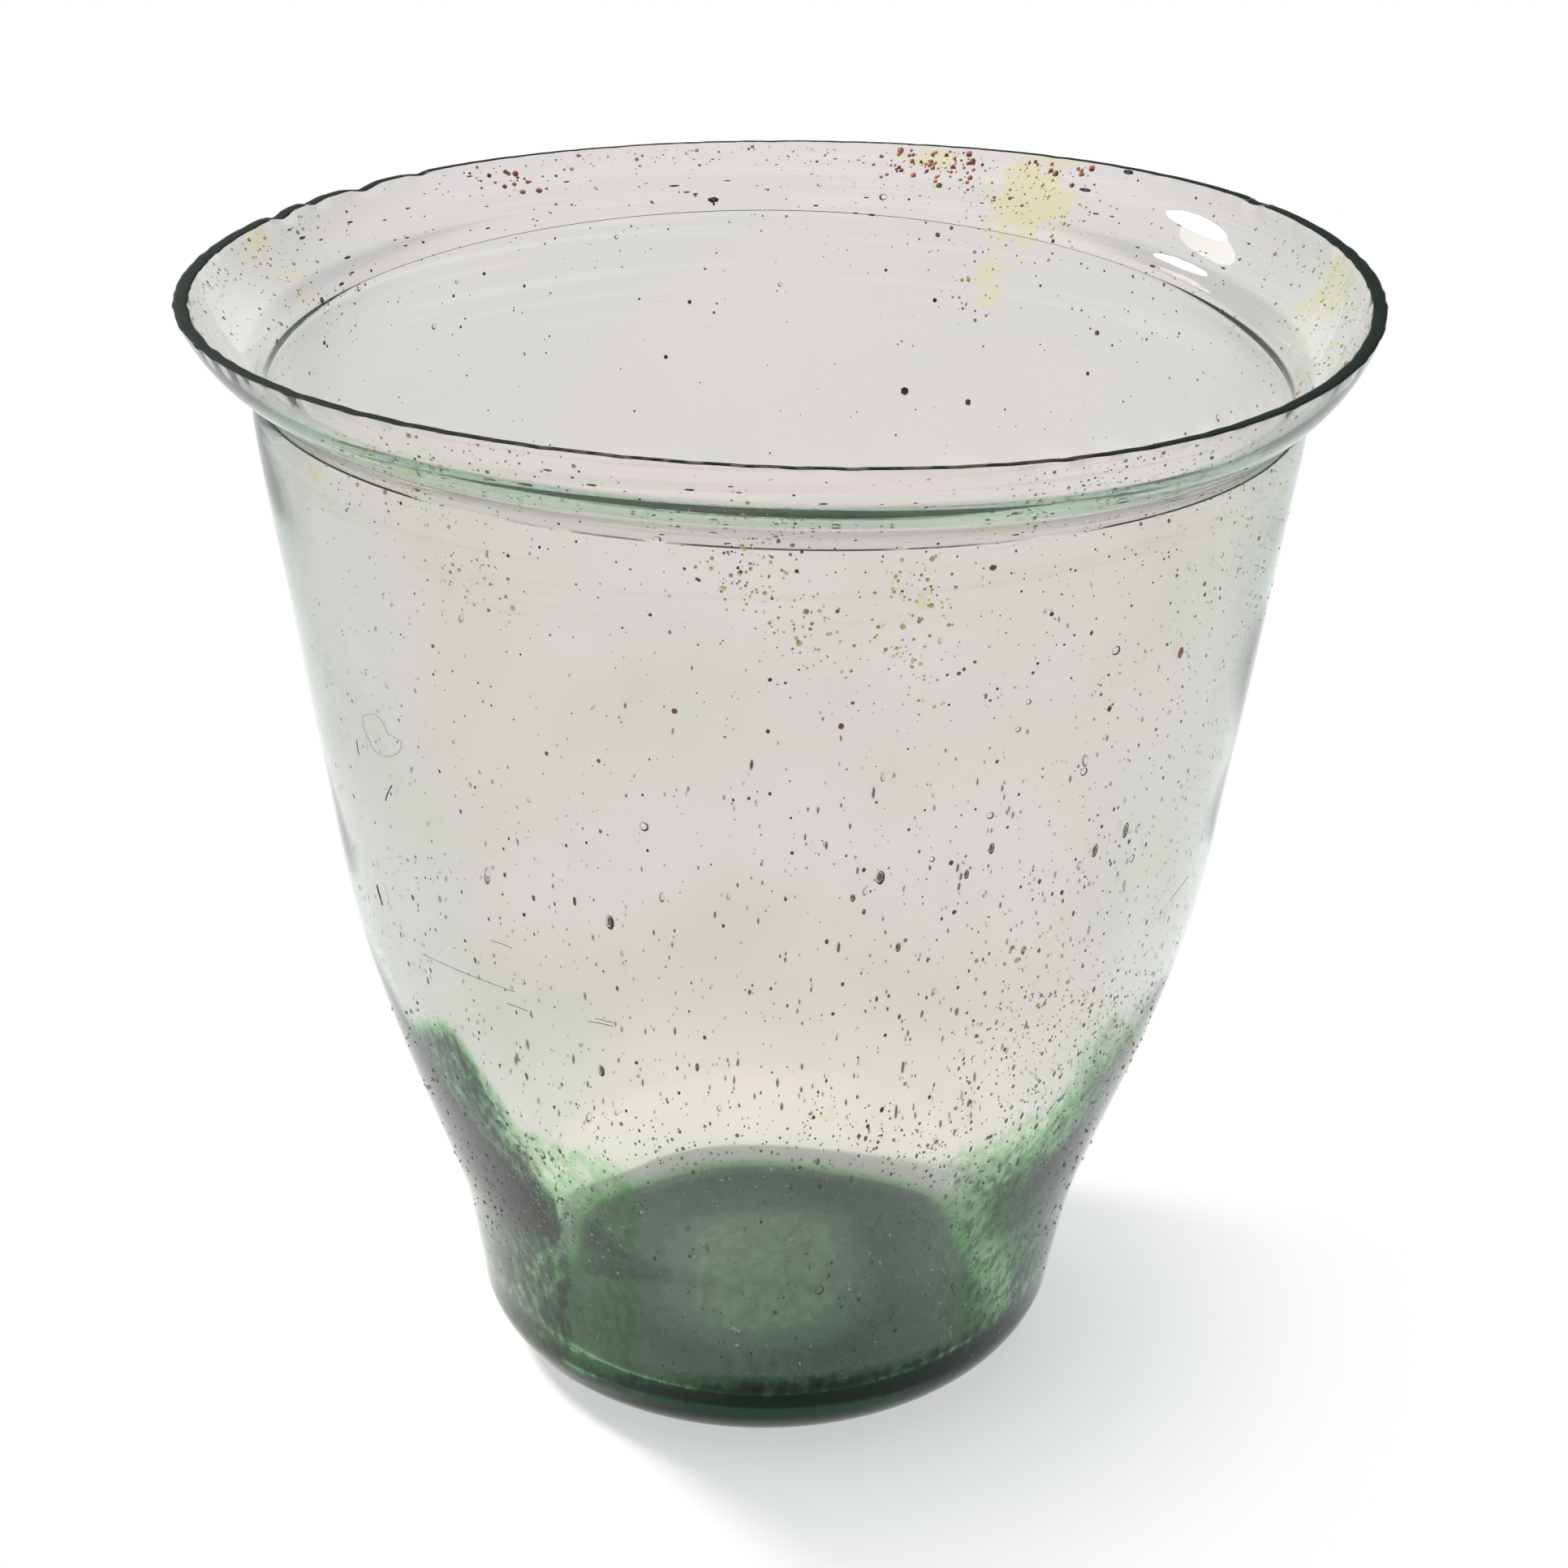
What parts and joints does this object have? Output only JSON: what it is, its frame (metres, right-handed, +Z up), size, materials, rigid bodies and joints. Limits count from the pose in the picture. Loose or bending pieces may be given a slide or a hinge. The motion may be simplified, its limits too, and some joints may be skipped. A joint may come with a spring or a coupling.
{
  "type": "free-blown glass lamp vessel",
  "caption": "Bucket-shaped glass oil lamp vessel with a rounded base, tapering wall, sharp crease and flared plain rim; open and empty, stands on its base.",
  "frame": {"origin": "on the vessel's axis, at the plane of the flat standing ring under the base", "axes": "+Z up along the vessel's axis of turning, +X to the right and +Y away from the viewer in the picture's view"},
  "size_m": [0.12, 0.12, 0.1215],
  "materials": {
    "green_glass": "clear glass with a pale green tinge that darkens where it is thick, full of fine bubbles, lightly weathered",
    "earth_stain": "thin dull ochre and rust-brown burial stains and specks on the glass"
  },
  "bodies": {
    "root": {"glass_vessel": "green_glass"}
  },
  "joints": []
}
